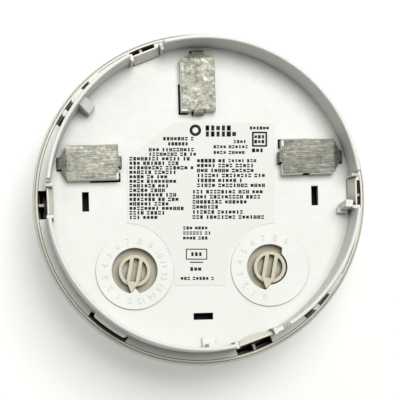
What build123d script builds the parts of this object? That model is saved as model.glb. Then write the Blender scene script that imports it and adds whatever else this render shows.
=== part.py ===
from build123d import *

import os
from math import cos, radians, sin

# Plug-in smoke detector head, in millimetres.
# +Z points out of the back, towards the mounting base.
# The origin is on the axis, in the plane of the rim's top edge.
# Angles turn counter-clockwise from +X, seen from the back.

# Fits
STATIC_GAP = 0.15
RUNNING_GAP = 0.05

# Levels of the rear housing, from its rim down
FLOOR_TOP = -9.5
FLOOR_THICK = 1.8
FLOOR_UNDER = FLOOR_TOP - FLOOR_THICK
FLANGE_TOP = -12.0
FLANGE_UNDER = -13.5

# Radii of the rear housing
RIM_R = 47.75
RIM_WALL = 1.15
RIM_INNER_R = RIM_R - RIM_WALL
FLANGE_R = 50.2
RIM_CHAMFER = 0.3
RIM_NOTCH_ANGLE = 174.3
RIM_NOTCH_WIDTH = 2.2
RIM_NOTCH_DEPTH = 1.6
RIM_RAMP_ANGLE = 299.2
RIM_RAMP_DEPTH = 3.2
WALL_DRAFT = 0.15

# Release tabs of the cover: name, angle, width and plan radius of the hook (0 when it is straight)
RELEASE_TABS = (
    ("right", 0, 8.3, 0),
    ("top", 109.9, 8.3, 0),
    ("left", 180.7, 8.3, 0),
    ("bottom", 289, 11.0, 16.0),
)
TAB_INNER_R = 46.05
TAB_THICK = 1.35
TAB_OUTER_R = TAB_INNER_R + TAB_THICK
TAB_TOP = -4.9
TAB_HOOK_R = 45.3
TAB_HOOK_FACE = 0.9
TAB_HOOK_UNDER = FLOOR_TOP + RUNNING_GAP
TAB_PIVOT_Z = -20.0
TAB_PIVOT_CENTRE_R = TAB_INNER_R + TAB_THICK / 2
TAB_PIVOT_R = 0.9
TAB_SWING = 0.85
TAB_FLOOR_EDGE_R = 45.95
TAB_SIDE_GAP = 0.3
TAB_RIB_WIDTH = 0.9
SADDLE_UNDER = -22.0
SADDLE_REACH = 1.7
SADDLE_OUTER_R = 48.6
RETURN_THICK = 0.9
RETURN_INNER_R = 45.5
RETURN_TOP = -3.2
RIM_STEP_WIDTH = 1.2

# Bayonet lugs on the outside of the rim: angle and width, then angle and width of the window below each
LUGS = (
    (131.0, 3.9, 132.0, 5.8),
    (139.6, 4.9, 140.6, 7.0),
    (147.3, 1.8, 148.4, 4.4),
    (233.3, 11.8, 233.0, 14.0),
    (314.3, 2.0, 313.0, 4.5),
    (325.0, 7.2, 323.2, 10.6),
)
LUG_R = 49.6
LUG_TOP = -5.5
LUG_THICK = 2.2
LUG_FILLET = 1.0
LUG_CORNER = 0.45

# Contact shoes: name, angle that the outer end points to, and the inner end's place along and across it
CONTACTS = (("top", 90, 26.5, 0.0), ("left", 180, 25.2, -11.4), ("right", 0, 25.2, 11.4))
SHOE_WIDTH = 10.4
SHOE_FULL_LENGTH = 15.7
SHOE_CHAMFER = 1.8
SHOE_TIP_WIDTH = 3.8
SHOE_THICK = 0.5
SHOE_TOP = -6.5
SHOE_TAB_REACH = 1.2
SHOE_BEND = 0.4
SHOE_NOTCH = (0.7, 1.9)
SHOE_CREASE = 0.4
SHOE_DROP = 0.8
PEDESTAL_LIP = 0.15
PEDESTAL_WALL = 1.5
PEDESTAL_SLOT = 0.6
PEDESTAL_LIP_HEIGHT = 0.2

# Plain slots in the floor: centre and size
FLOOR_SLOTS = (
    (-35.45, -0.33, 2.1, 6.05),
    (35.45, -0.33, 2.1, 6.05),
    (0.0, -36.7, 6.05, 2.1),
)

# Product label, in its own axes, which are turned slightly against the housing's
LABEL_TURN = -1.6
LABEL_THICK = 0.12
LABEL_LEFT = -22.6
LABEL_RIGHT = 22.9
LABEL_HIGH = 23.2
LABEL_LOW = -27.1
LABEL_CUT_TOP = (-8.6, LABEL_HIGH)
LABEL_CUT_SIDE = (LABEL_LEFT, 12.2)
LABEL_TAIL = 8.0
LABEL_CUTOUT_R = 14.1
LABEL_CUTOUT_X = 22.6

# Address dials: name, centre, pointer angle at its last number
DIAL_X = 20.9
DIAL_Y = -22.1
DIAL_FIRST = 258.75
DIAL_STEP = 22.5
DIALS = (("tens", -DIAL_X, 15), ("ones", DIAL_X, 9))
DIAL_DISC_R = 12.0
DIAL_DISC_HEIGHT = 0.5
DIAL_DISC_TOP = FLOOR_TOP + DIAL_DISC_HEIGHT
DIAL_HUB_R = 4.9
DIAL_CUP_R = 3.9
DIAL_TOP = -9.05
DIAL_CUP_FLOOR = -11.0
DIAL_WINDOW_NARROW_R = 5.4
DIAL_WINDOW_WIDE_R = 7.1
POINTER_TIP_R = 6.85
POINTER_BASE_R = 3.4
POINTER_BASE_WIDTH = 4.0
POINTER_THICK = 1.8
POINTER_RISE = 0.4
POINTER_GAP = 0.14
SLOT_BAR_WIDTH = 1.15
SLOT_GAP = 1.7
STEM_R = 3.0
SWITCH_BODY_R = 8.6
SWITCH_BODY_TOP = FLOOR_UNDER - RUNNING_GAP
WIPER_R = 6.4
WIPER_THICK = 0.25
WIPER_ROOM_R = 7.2
WIPER_ROOM_HEIGHT = 1.25

# Circuit board and what holds it
BOARD_TOP = -14.6
BOARD_THICK = 1.6
BOARD_UNDER = BOARD_TOP - BOARD_THICK
BOARD_R = 43.5
POST_R = 2.6
SCREW_ANGLES = (55, 125, 251, 289)
SCREW_CIRCLE_R = 38.0
SCREW_SHANK_R = 1.05
SCREW_HEAD_R = 2.1
SCREW_HEAD_HEIGHT = 1.5
SCREW_REACH = 4.2

# Cover, outside shape from the seam to the nose
COVER_R = 52.0
COVER_WALL = 1.8
COVER_TOP = -12.05
COVER_WIDEST_Z = -14.4
COVER_LEDGE_R = 49.6
RING_GROOVE_R = 51.15
RING_GROOVE_WIDTH = 0.55
RING_GROOVE_DEPTH = 0.75
SKIRT_LOW_R = 51.4
SKIRT_LOW_Z = -19.0
SHOULDER_R = 47.6
SHOULDER_Z = -22.9
CONE_END_R = 37.0
CONE_END_Z = -25.8
CAGE_R = 33.2
CAGE_WALL = 1.7
CAGE_TOP_Z = -27.4
SLOT_LOW_Z = -34.6
NOSE_Z = -38.5
NOSE_R = 29.5
CAP_WALL = 1.7
CAGE_RIBS = 24
CAGE_RIB_WIDTH = 2.2

# Sensing chamber
CHAMBER_R = 28.6
CHAMBER_BASE_UNDER = -22.0
CHAMBER_WELL_R = 11.0
CHAMBER_COVER_UNDER = -36.3
CHAMBER_LID_THICK = 1.4
CHAMBER_VANES = 20
SCREEN_THICK = 0.35
OPTIC_Z = -19.1
OPTIC_START_R = 12.5
SIGHT_R = 1.4
POCKET_WIDTH = 5.4
POCKET_LENGTH = 10.2
EMITTER_ANGLE = 200
EMITTER_R = 2.0
EMITTER_LENGTH = 7.0
EMITTER_COLLAR = 0.3
EMITTER_LEAD_PITCH = 1.27
EMITTER_LEAD_WIDTH = 0.5
RECEIVER_ANGLE = 70
RECEIVER_X = 4.0
RECEIVER_DEPTH = 2.4
RECEIVER_WIDTH = 3.8
RECEIVER_LENS_R = 1.3
RECEIVER_LEAD_PITCH = 2.54
RECEIVER_LEAD_WIDTH = 0.4
SHIELD_WIDTH = 4.9
SHIELD_SHEET = 0.3

PEG_CIRCLE_R = 24.6
PEG_ANGLES = (20, 200)
PEG_R = 1.0
VANE_INNER_R = 21.4
VANE_BEND_R = 24.6
VANE_OUTER_R = 28.0
VANE_BEND = 2.6
VANE_THICK = 1.15

# Parts on the board's upper side: chip, row of diodes, rows of chip components
CHIP_CENTRE = (4.0, 8.0)
CHIP_SIZE = (12.8, 7.5, 2.2)
CHIP_PINS = 10
CHIP_STANDOFF = 0.15
PIN_PITCH = 1.27
PIN_WIDTH = 0.4
PIN_REACH = 1.1
PIN_HEIGHT = 0.5
DIODE_SIZE = (2.6, 4.2, 2.1)
DIODE_FIRST = (-14.0, 21.1)
DIODE_PITCH = 5.0
DIODE_COUNT = 4
PASSIVE_SIZE = (2.0, 1.25, 0.7)
PASSIVE_FIRST = (-12.0, -4.0)
PASSIVE_PITCH = (3.4, 3.0)
PASSIVE_COLUMNS = 8
PASSIVE_ROWS = 3

# Parts under the board, outside the sensing chamber
CAPACITOR_ANGLES = (150, 163)
CAPACITOR_CIRCLE_R = 36.0
CAPACITOR_R = 3.1
CAPACITOR_HEIGHT = 5.2
CAPACITOR_FOOT = 6.4
CAPACITOR_FOOT_HEIGHT = 0.7
CAPACITOR_CRIMP_R = 2.9
CRYSTAL_ANGLE = 318
CRYSTAL_CIRCLE_R = 36.0
CRYSTAL_WIDTH = 3.8
CRYSTAL_STRAIGHT = 8.0
CRYSTAL_HEIGHT = 3.2
CRYSTAL_BASE = (4.6, 12.4, 0.5)
REED_ANGLE = -20
REED_CIRCLE_R = 37.5
REED_TUBE_R = 1.1
REED_TUBE_LENGTH = 10.0
REED_LEAD_R = 0.3
REED_SPAN = 14.0
REED_DROP = 1.5

# Status lamps
LAMP_ANGLES = (35, 215)
LAMP_CIRCLE_R = 40.0
LAMP_R = 1.5
LAMP_RIM_R = 1.9
LAMP_TIP_Z = -27.2
LAMP_BASE_Z = -21.2
LAMP_HOLE_R = 1.75
LAMP_BOSS_R = 2.9
LAMP_LEAD_X = 0.8
LAMP_LEAD_WIDTH = 0.4


def disc(radius, low, high, x=0.0, y=0.0):
    """Upright round solid between two heights."""
    return Pos(x, y, (low + high) / 2) * Cylinder(radius, high - low)


def ring(outer, inner, low, high):
    """Upright tube about the axis."""
    return disc(outer, low, high) - disc(inner, low - 1, high + 1)


def block(x0, x1, y0, y1, z0, z1):
    """Box between two corners."""
    centre = Pos((x0 + x1) / 2, (y0 + y1) / 2, (z0 + z1) / 2)
    return centre * Box(abs(x1 - x0), abs(y1 - y0), abs(z1 - z0))


def prism(points, low, high):
    """Upright solid over a flat outline."""
    face = make_face(Polyline(*points, close=True))
    return Pos(0, 0, low) * extrude(face, high - low)


def turned(points):
    """Solid of revolution about the axis, from radius and height pairs."""
    return revolve(make_face(Plane.XZ * Polyline(*points, close=True)), Axis.Z)


def turned_profile(*edges):
    """Solid of revolution about the axis, from edges drawn in radius and height."""
    return revolve(make_face(Plane.XZ * Wire(edges)), Axis.Z)


def radial_plate(points, width, angle):
    """Solid over an outline in radius and height, spread sideways about a direction."""
    face = make_face(Plane.XZ * Polyline(*points, close=True))
    return Rot(0, 0, angle) * extrude(face, width / 2, both=True)


def on_circle(radius, angle):
    """Point of a circle about the axis."""
    return radius * cos(radians(angle)), radius * sin(radians(angle))


def pie(radius, start, end, low, high):
    """Upright wedge of a disc, from one angle counter-clockwise to another."""
    steps = 12
    turn = (end - start) / steps
    arc = [on_circle(radius / cos(radians(turn / 2)), start + turn * (n + 0.5)) for n in range(steps)]
    rough = prism([(0, 0), on_circle(radius, start), *arc, on_circle(radius, end)], low, high)
    return rough & disc(radius, low, high)


def placed_along(shape, contact):
    """Moves a shoe-shaped solid from its own length and width axes to its place on the back plate."""
    _, angle, inner_end, across = contact
    if angle == 90:
        return Rot(0, 0, 90) * Pos(inner_end, 0, 0) * shape
    if angle == 180:
        return Rot(0, 0, 180) * Pos(inner_end, across, 0) * shape
    return Pos(inner_end, across, 0) * shape


def shoe_outline(extra):
    """Outline of a contact shoe along X, grown by a margin, with its outer corners cut off."""
    half = SHOE_WIDTH / 2 + extra
    tip = SHOE_TIP_WIDTH / 2 + extra
    end = SHOE_FULL_LENGTH + SHOE_CHAMFER + extra
    lower = [(-extra, -half), (SHOE_FULL_LENGTH, -half), (end, -tip)]
    return lower + [(x, -y) for x, y in reversed(lower)]


def pedestal():
    """Raised plastic bed under one contact shoe, hollow from below, with a thin lip round the shoe."""
    bed_top = SHOE_TOP - SHOE_THICK
    bed = prism(shoe_outline(PEDESTAL_LIP), FLOOR_UNDER, bed_top + PEDESTAL_LIP_HEIGHT)
    bed -= prism(shoe_outline(0.0), bed_top, 0)
    past = SHOE_FULL_LENGTH + 2 * SHOE_CHAMFER
    ramp = [(SHOE_FULL_LENGTH, bed_top), (past, bed_top - 2 * SHOE_DROP), (past, 0), (SHOE_FULL_LENGTH, 0)]
    bed -= radial_plate(ramp, SHOE_WIDTH + 1, 0)
    half = SHOE_WIDTH / 2 - PEDESTAL_WALL
    bed -= block(
        PEDESTAL_WALL, SHOE_FULL_LENGTH - PEDESTAL_WALL, -half, half, FLOOR_UNDER - 1, bed_top - PEDESTAL_WALL
    )
    return bed


def pedestal_cuts():
    """Openings round one shoe: a slot for each bent tab, an L-shaped slot and a short side slot."""
    half = SHOE_WIDTH / 2 + PEDESTAL_LIP
    inner = -PEDESTAL_LIP
    outer = SHOE_FULL_LENGTH + SHOE_CHAMFER
    low = FLANGE_UNDER - 1
    slot = PEDESTAL_SLOT
    cuts = block(inner - 1.0, SHOE_BEND, -1.9, 1.9, low, 0)
    cuts += block(outer - SHOE_BEND, outer + SHOE_TAB_REACH + 0.25, -2.1, 2.1, low, 0)
    cuts += block(inner - slot, SHOE_FULL_LENGTH * 0.55, half, half + slot, low, 0)
    cuts += block(inner - slot, inner, half - 2.3, half + slot, low, 0)
    cuts += block(SHOE_FULL_LENGTH * 0.40, SHOE_FULL_LENGTH * 0.54, -half, -half + slot, low, 0)
    return cuts


def pointer_outline(grow):
    """Triangle of a dial's pointer along X, grown by a margin."""
    half = POINTER_BASE_WIDTH / 2 + grow
    return [(POINTER_BASE_R, -half), (POINTER_TIP_R + 1.8 * grow, 0), (POINTER_BASE_R, half)]


def dial_window(last_number, low, high):
    """Opening for a dial: wide where the pointer sweeps, with a stop at each end."""
    last = DIAL_FIRST - DIAL_STEP * last_number
    window = disc(DIAL_WINDOW_NARROW_R, low, high)
    middle = (DIAL_FIRST + last) / 2
    window += pie(DIAL_WINDOW_WIDE_R, last, middle, low, high)
    window += pie(DIAL_WINDOW_WIDE_R, middle, DIAL_FIRST, low, high)
    for angle in (last, DIAL_FIRST):
        window += Rot(0, 0, angle) * prism(pointer_outline(POINTER_GAP), low, high)
    return window


def rear_housing():
    """White back of the detector: floor plate, standing rim, outer flange and every moulded feature."""
    body = turned([
        (0, FLOOR_UNDER),
        (RIM_INNER_R - 0.3, FLOOR_UNDER),
        (RIM_INNER_R - 0.3, FLANGE_UNDER),
        (FLANGE_R, FLANGE_UNDER),
        (FLANGE_R, FLANGE_TOP),
        (RIM_R + WALL_DRAFT, FLANGE_TOP),
        (RIM_R, -RIM_CHAMFER),
        (RIM_R - RIM_CHAMFER, 0),
        (RIM_INNER_R + RIM_CHAMFER, 0),
        (RIM_INNER_R, -RIM_CHAMFER),
        (RIM_INNER_R - WALL_DRAFT, FLOOR_TOP),
        (0, FLOOR_TOP),
    ])
    for _, angle, width, _ in RELEASE_TABS:
        half = width / 2 + TAB_SIDE_GAP
        body -= Rot(0, 0, angle) * block(TAB_FLOOR_EDGE_R, FLANGE_R + 1, -half, half, FLANGE_UNDER - 1, 1)
        step = half + RIM_STEP_WIDTH
        body -= Rot(0, 0, angle) * block(TAB_FLOOR_EDGE_R, FLANGE_R + 1, -step, step, RETURN_TOP, 1)
        body += rim_returns(angle, half)
    for angle, width, window_angle, window_width in LUGS:
        half = window_width / 2
        window = block(RIM_R + WALL_DRAFT, FLANGE_R + 1, -half, half, FLANGE_UNDER - 1, FLANGE_TOP + 1)
        body -= Rot(0, 0, window_angle) * window
        body += bayonet_lug(angle, width)
    body += key_blocks()
    body -= rim_cuts()
    for contact in CONTACTS:
        body += placed_along(pedestal(), contact)
    for _, x, last_number in DIALS:
        body += disc(DIAL_DISC_R, FLOOR_UNDER, DIAL_DISC_TOP, x, DIAL_Y)
        body -= Pos(x, DIAL_Y, 0) * dial_window(last_number, FLOOR_UNDER - 1, DIAL_DISC_TOP + 1)
    for x, y, width, depth in FLOOR_SLOTS:
        body -= Pos(x, y, FLOOR_TOP) * Box(width, depth, 3 * FLOOR_THICK)
    for contact in CONTACTS:
        body -= placed_along(pedestal_cuts(), contact)
    for angle in SCREW_ANGLES:
        x, y = on_circle(SCREW_CIRCLE_R, angle)
        body += disc(POST_R, BOARD_TOP, FLOOR_UNDER, x, y)
        body -= disc(SCREW_SHANK_R + RUNNING_GAP, BOARD_TOP - 1, BOARD_TOP + SCREW_REACH + 0.2, x, y)
    return body


def rim_cuts():
    """A small notch in the rim's top edge, and a ramp where the rim starts again beside a release tab."""
    half = RIM_NOTCH_WIDTH / 2
    cuts = Rot(0, 0, RIM_NOTCH_ANGLE) * block(RIM_INNER_R - 1, RIM_R + 1, -half, half, -RIM_NOTCH_DEPTH, 1)
    side = [(-2.4, 1), (-2.4, -RIM_RAMP_DEPTH), (0.4, -RIM_RAMP_DEPTH), (2.4, 0), (2.4, 1)]
    ramp = extrude(make_face(Plane.YZ * Polyline(*side, close=True)), 2 * RIM_WALL)
    cuts += Rot(0, 0, RIM_RAMP_ANGLE) * Pos(RIM_INNER_R - RIM_WALL / 2, 0, 0) * ramp
    return cuts


def rim_returns(angle, half):
    """Short radial fins that close the rim on both sides of a release tab."""
    fins = None
    for side in (-1, 1):
        edges = sorted((side * half, side * (half + RETURN_THICK)))
        fin = block(RETURN_INNER_R, RIM_R - 0.1, edges[0], edges[1], FLANGE_TOP - 0.5, RETURN_TOP)
        fins = fin if fins is None else fins + fin
    return Rot(0, 0, angle) * fins


def bayonet_lug(angle, width):
    """Curved lug on the rim that hooks under the mounting base: filleted top, sloped underside."""
    section = turned([
        (RIM_INNER_R + 0.5, LUG_TOP + 1.5 * LUG_FILLET),
        (RIM_R + 0.25 * LUG_FILLET, LUG_TOP + LUG_FILLET),
        (RIM_R + 0.55 * LUG_FILLET, LUG_TOP + 0.35 * LUG_FILLET),
        (RIM_R + LUG_FILLET, LUG_TOP),
        (LUG_R - 0.3, LUG_TOP),
        (LUG_R, LUG_TOP - 0.3),
        (LUG_R, LUG_TOP - LUG_THICK + 1.0),
        (RIM_INNER_R + 0.5, LUG_TOP - LUG_THICK - 1.0),
    ])
    half = width / 2
    edge = (LUG_R**2 - half**2) ** 0.5
    corner = half - LUG_CORNER
    side = [(RIM_INNER_R, -half), (edge - LUG_CORNER, -half), (edge, -corner), (edge + 1, -corner)]
    plan = side + [(x, -y) for x, y in reversed(side)]
    return section & Rot(0, 0, angle) * prism(plan, FLANGE_TOP, 0)


def key_block(angle, width, inner_r, outer_r, inner_top, outer_top):
    """Upright block on the floor, spread sideways about a direction, with a level or sloped top."""
    low = FLOOR_TOP - 0.2
    side = [(inner_r, low), (inner_r, inner_top), (outer_r, outer_top), (outer_r, low)]
    return radial_plate(side, width, angle)


def key_blocks():
    """Blocks on the inside of the rim that only let the head turn into the right base."""
    wall_r = RIM_INNER_R + 0.3
    keys = key_block(140.5, 3.0, 42.6, wall_r, -5.4, -2.2)
    keys += key_block(-5.4, 2.1, 43.1, 45.2, -1.2, -1.2)
    keys += key_block(-7.0, 1.6, 42.3, 45.2, -8.0, -7.2)
    keys += key_block(271.7, 3.9, 43.2, wall_r, -8.6, -8.6)
    keys += key_block(272.6, 3.6, 45.4, wall_r, -0.8, -0.8)
    return keys


def shoe_crown():
    """Very flat roof shape that gives a shoe its lengthwise crease."""
    edge = SHOE_TOP - SHOE_CREASE
    low = SHOE_TOP - 2 * SHOE_THICK - SHOE_DROP
    roof = [(-SHOE_WIDTH, low), (SHOE_WIDTH, low), (SHOE_WIDTH, edge), (0, SHOE_TOP), (-SHOE_WIDTH, edge)]
    face = make_face(Plane.YZ * Polyline(*roof, close=True))
    return extrude(face, 2 * SHOE_FULL_LENGTH, both=True)


def contact_shoe(contact):
    """Tinned contact shoe: a flat plate, a tab bent down at each end and a leg soldered to the board."""
    bed_top = SHOE_TOP - SHOE_THICK
    end = SHOE_FULL_LENGTH + SHOE_CHAMFER
    half = SHOE_WIDTH / 2 - 0.05
    tip = SHOE_TIP_WIDTH / 2
    notch_length, notch_width = SHOE_NOTCH
    outline = [
        (0.05, -half),
        (SHOE_FULL_LENGTH, -half),
        (end, -tip),
        (end, tip),
        (SHOE_FULL_LENGTH, half),
        (notch_length, half),
        (notch_length, half - notch_width),
        (0.05, half - notch_width),
    ]
    tip_top = SHOE_TOP - SHOE_DROP
    tip_bed = bed_top - SHOE_DROP
    side = [
        (0, bed_top),
        (0, SHOE_TOP),
        (SHOE_FULL_LENGTH, SHOE_TOP),
        (end, tip_top),
        (end, tip_bed),
        (SHOE_FULL_LENGTH, bed_top),
    ]
    shoe = prism(outline, tip_bed, SHOE_TOP) & shoe_crown() & radial_plate(side, SHOE_WIDTH + 1, 0)
    outer_tab = [
        (end - SHOE_BEND, tip_top),
        (end + SHOE_TAB_REACH - 0.7, tip_top - 0.35),
        (end + SHOE_TAB_REACH, tip_top - 1.1),
        (end + SHOE_TAB_REACH, FLOOR_UNDER - 0.8),
        (end + SHOE_TAB_REACH - SHOE_THICK, FLOOR_UNDER - 0.8),
        (end + SHOE_TAB_REACH - SHOE_THICK, tip_top - 1.3),
        (end - SHOE_BEND, tip_bed),
    ]
    shoe += radial_plate(outer_tab, SHOE_TIP_WIDTH - 0.3, 0)
    inner_tab = [
        (SHOE_BEND, SHOE_TOP),
        (-0.75, SHOE_TOP - 0.3),
        (-1.15, SHOE_TOP - 0.9),
        (-1.15, BOARD_TOP + 0.1),
        (-1.15 + SHOE_THICK, BOARD_TOP + 0.1),
        (-1.15 + SHOE_THICK, SHOE_TOP - 1.1),
        (SHOE_BEND, bed_top),
    ]
    shoe += radial_plate(inner_tab, SHOE_TIP_WIDTH - 0.6, 0)
    shoe += block(-1.15, -1.15 + SHOE_THICK, -0.6, 0.6, BOARD_UNDER - 0.9, BOARD_TOP + 0.2)
    return placed_along(shoe, contact)


def product_label():
    """Thin sticker on the floor, set slightly askew, cut round the two dials, with a tail between them."""
    low = FLOOR_TOP
    high = FLOOR_TOP + LABEL_THICK
    right = [(LABEL_RIGHT, DIAL_Y), (LABEL_RIGHT, LABEL_HIGH)]
    corner = [(LABEL_LEFT, DIAL_Y)] + right + [LABEL_CUT_TOP, LABEL_CUT_SIDE]
    sheet = prism(corner, low, high)
    sheet += block(-LABEL_TAIL, LABEL_TAIL, LABEL_LOW, DIAL_Y + 1, low, high)
    for side in (-1, 1):
        sheet -= disc(LABEL_CUTOUT_R, low - 1, high + 1, side * LABEL_CUTOUT_X, DIAL_Y)
    sheet = Rot(0, 0, LABEL_TURN) * sheet
    for _, x, _ in DIALS:
        sheet -= disc(DIAL_DISC_R + RUNNING_GAP, low - 1, high + 1, x, DIAL_Y)
    return sheet


def address_dial(x):
    """Rotary address dial: cup with two bars for a screwdriver, a pointer on top and a stem below."""
    dial = disc(DIAL_HUB_R, DIAL_CUP_FLOOR - 0.25, DIAL_TOP)
    dial -= disc(DIAL_CUP_R, DIAL_CUP_FLOOR, 1)
    for side in (-1, 1):
        inner = side * SLOT_GAP / 2
        outer = side * (SLOT_GAP / 2 + SLOT_BAR_WIDTH)
        bar = block(-DIAL_HUB_R + 0.3, POINTER_BASE_R + 0.3, inner, outer, DIAL_CUP_FLOOR - 0.1, DIAL_TOP)
        dial += bar & disc(DIAL_HUB_R - 0.1, DIAL_CUP_FLOOR - 0.2, DIAL_TOP)
    dial += prism(pointer_outline(0.0), DIAL_TOP + POINTER_RISE - POINTER_THICK, DIAL_TOP + POINTER_RISE)
    dial += disc(STEM_R, BOARD_TOP + 0.8, DIAL_CUP_FLOOR)
    return Pos(x, DIAL_Y, 0) * Rot(0, 0, DIAL_FIRST) * dial


def wiper(x):
    """Three-armed contact wiper under a dial's stem."""
    top = BOARD_TOP + 0.8
    low = top - WIPER_THICK
    spring = disc(2.4, low, top)
    for turn in range(3):
        arm = block(0, WIPER_R - 0.6, -0.5, 0.5, low, top)
        arm += disc(0.6, low, top, WIPER_R - 0.6, 0)
        arm += disc(0.45, low - 0.3, top, WIPER_R - 0.7, 0)
        spring += Rot(0, 0, 120 * turn) * arm
    return Pos(x, DIAL_Y, 0) * spring


def switch_body(x):
    """Round switch body on the board, bored for the dial's stem and hollow for its wiper."""
    body = disc(SWITCH_BODY_R, BOARD_TOP, SWITCH_BODY_TOP)
    body -= disc(STEM_R + RUNNING_GAP, BOARD_TOP - 1, 0)
    body -= disc(WIPER_ROOM_R, BOARD_TOP - 1, BOARD_TOP + WIPER_ROOM_HEIGHT)
    body -= disc(2.9, BOARD_TOP - 1, BOARD_TOP + WIPER_ROOM_HEIGHT)
    return Pos(x, DIAL_Y, 0) * body


def circuit_board():
    """Round board with holes for screws and contact legs."""
    board = disc(BOARD_R, BOARD_UNDER, BOARD_TOP)
    for angle in SCREW_ANGLES:
        x, y = on_circle(SCREW_CIRCLE_R, angle)
        board -= disc(SCREW_SHANK_R + 0.2, BOARD_UNDER - 1, 0, x, y)
    for contact in CONTACTS:
        hole = block(-1.35, -0.45, -0.8, 0.8, BOARD_UNDER - 1, 0)
        board -= placed_along(hole, contact)
    for angle in PEG_ANGLES:
        x, y = on_circle(PEG_CIRCLE_R, angle)
        board -= disc(PEG_R + 0.1, BOARD_UNDER - 1, 0, x, y)
    return board


def board_screws():
    """Four thread-forming screws, driven from below into the housing's posts."""
    screws = []
    for angle in SCREW_ANGLES:
        x, y = on_circle(SCREW_CIRCLE_R, angle)
        screw = disc(SCREW_SHANK_R, BOARD_UNDER - 0.1, BOARD_TOP + SCREW_REACH, x, y)
        screw += disc(SCREW_HEAD_R, BOARD_UNDER - SCREW_HEAD_HEIGHT, BOARD_UNDER, x, y)
        for turn in (0, 90):
            recess = Pos(x, y, BOARD_UNDER - SCREW_HEAD_HEIGHT) * Rot(0, 0, turn) * Box(2.4, 0.55, 1.4)
            screw -= recess
        screws.append(screw)
    return Compound(screws)


def optic_frame(angle):
    """Placement of an optical part: X points outward from the chamber's middle."""
    return Rot(0, 0, angle) * Pos(OPTIC_START_R, 0, OPTIC_Z)


def chamber_base():
    """Black optical block under the board, with a light well and a pocket for each optical part."""
    base = disc(CHAMBER_R, CHAMBER_BASE_UNDER, BOARD_UNDER)
    base -= disc(CHAMBER_WELL_R, CHAMBER_BASE_UNDER - 1, BOARD_UNDER - 1.2)
    for angle in (EMITTER_ANGLE, RECEIVER_ANGLE):
        pocket = Pos(4.5, 0, 2.2) * Box(POCKET_LENGTH, POCKET_WIDTH, 9.0)
        sight = Pos(-2.0, 0, 0) * Rot(0, 90, 0) * Cylinder(SIGHT_R, 8.0)
        base -= optic_frame(angle) * (pocket + sight)
    for contact in CONTACTS:
        relief = block(-2.2, 0.4, -1.5, 1.5, BOARD_UNDER - 1.4, BOARD_UNDER + 1)
        base -= placed_along(relief, contact)
    for angle in PEG_ANGLES:
        x, y = on_circle(PEG_CIRCLE_R, angle)
        base += disc(PEG_R, BOARD_UNDER - 0.5, BOARD_TOP + 0.6, x, y)
    return base


def infrared_emitter():
    """Domed infrared lamp lying in its pocket, with two leads up to the board."""
    along_x = Rot(0, 90, 0)
    lamp = Pos(EMITTER_LENGTH / 2 + 0.5, 0, 0) * along_x * Cylinder(EMITTER_R, EMITTER_LENGTH - 2)
    lamp += Pos(1.5, 0, 0) * Sphere(EMITTER_R)
    lamp += Pos(EMITTER_LENGTH - 0.6, 0, 0) * along_x * Cylinder(EMITTER_R + EMITTER_COLLAR, 0.8)
    half = EMITTER_LEAD_WIDTH / 2
    bend = EMITTER_LENGTH + 1.5
    for y in (-EMITTER_LEAD_PITCH / 2, EMITTER_LEAD_PITCH / 2):
        lamp += block(EMITTER_LENGTH - 0.5, bend, y - half, y + half, -half, half)
        lamp += block(bend - EMITTER_LEAD_WIDTH, bend, y - half, y + half, -half, BOARD_UNDER - OPTIC_Z)
    return optic_frame(EMITTER_ANGLE) * lamp


def photodiode():
    """Receiver: a flat lensed package standing in its pocket."""
    package = Pos(RECEIVER_X, 0, 0) * Box(RECEIVER_DEPTH, RECEIVER_WIDTH, RECEIVER_WIDTH)
    face_x = RECEIVER_X - RECEIVER_DEPTH / 2
    package += Pos(face_x + 0.1, 0, 0) * Rot(0, 90, 0) * Cylinder(RECEIVER_LENS_R, 0.8)
    half = RECEIVER_LEAD_WIDTH / 2
    low = RECEIVER_WIDTH / 2 - 0.1
    for y in (-RECEIVER_LEAD_PITCH / 2, RECEIVER_LEAD_PITCH / 2):
        lead = block(RECEIVER_X - half, RECEIVER_X + half, y - half, y + half, low, BOARD_UNDER - OPTIC_Z)
        package += lead
    return optic_frame(RECEIVER_ANGLE) * package


def photodiode_shield():
    """Folded tin screen on three sides of the photodiode."""
    half = SHIELD_WIDTH / 2
    inner_half = half - SHIELD_SHEET
    front = RECEIVER_X - 1.8
    back = RECEIVER_X + 2.2
    outer = block(front, back, -half, half, -2.2, 2.6)
    inner = block(0, back - SHIELD_SHEET, -inner_half, inner_half, -2.2 + SHIELD_SHEET, 4)
    return optic_frame(RECEIVER_ANGLE) * (outer - inner)


def chamber_cover():
    """Black labyrinth that shuts out light and lets smoke in: a lid with bent vanes round its edge."""
    lid = disc(CHAMBER_R, CHAMBER_COVER_UNDER, CHAMBER_COVER_UNDER + CHAMBER_LID_THICK)
    top = CHAMBER_BASE_UNDER - RUNNING_GAP
    low = CHAMBER_COVER_UNDER + 0.5
    middle = [(VANE_INNER_R, 0), (VANE_BEND_R, VANE_BEND), (VANE_OUTER_R, 0)]
    outline = middle + [(x, y + VANE_THICK) for x, y in reversed(middle)]
    for n in range(CHAMBER_VANES):
        lid += Rot(0, 0, 360 / CHAMBER_VANES * n) * prism(outline, low, top)
    lid += ring(CHAMBER_R, CHAMBER_R - 1.2, top - 1.6, top)
    return lid


def insect_screen():
    """Fine screen wrapped round the labyrinth."""
    low = CHAMBER_COVER_UNDER + CHAMBER_LID_THICK
    top = CHAMBER_BASE_UNDER - 1.0
    return ring(CHAMBER_R + 0.02 + SCREEN_THICK, CHAMBER_R + 0.02, low, top)


def lamp_leads(width, low, high):
    """Pair of square leads of a status lamp, or the room for them."""
    leads = block(-LAMP_LEAD_X - width / 2, -LAMP_LEAD_X + width / 2, -width / 2, width / 2, low, high)
    return leads + mirror(leads, Plane.YZ)


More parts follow.
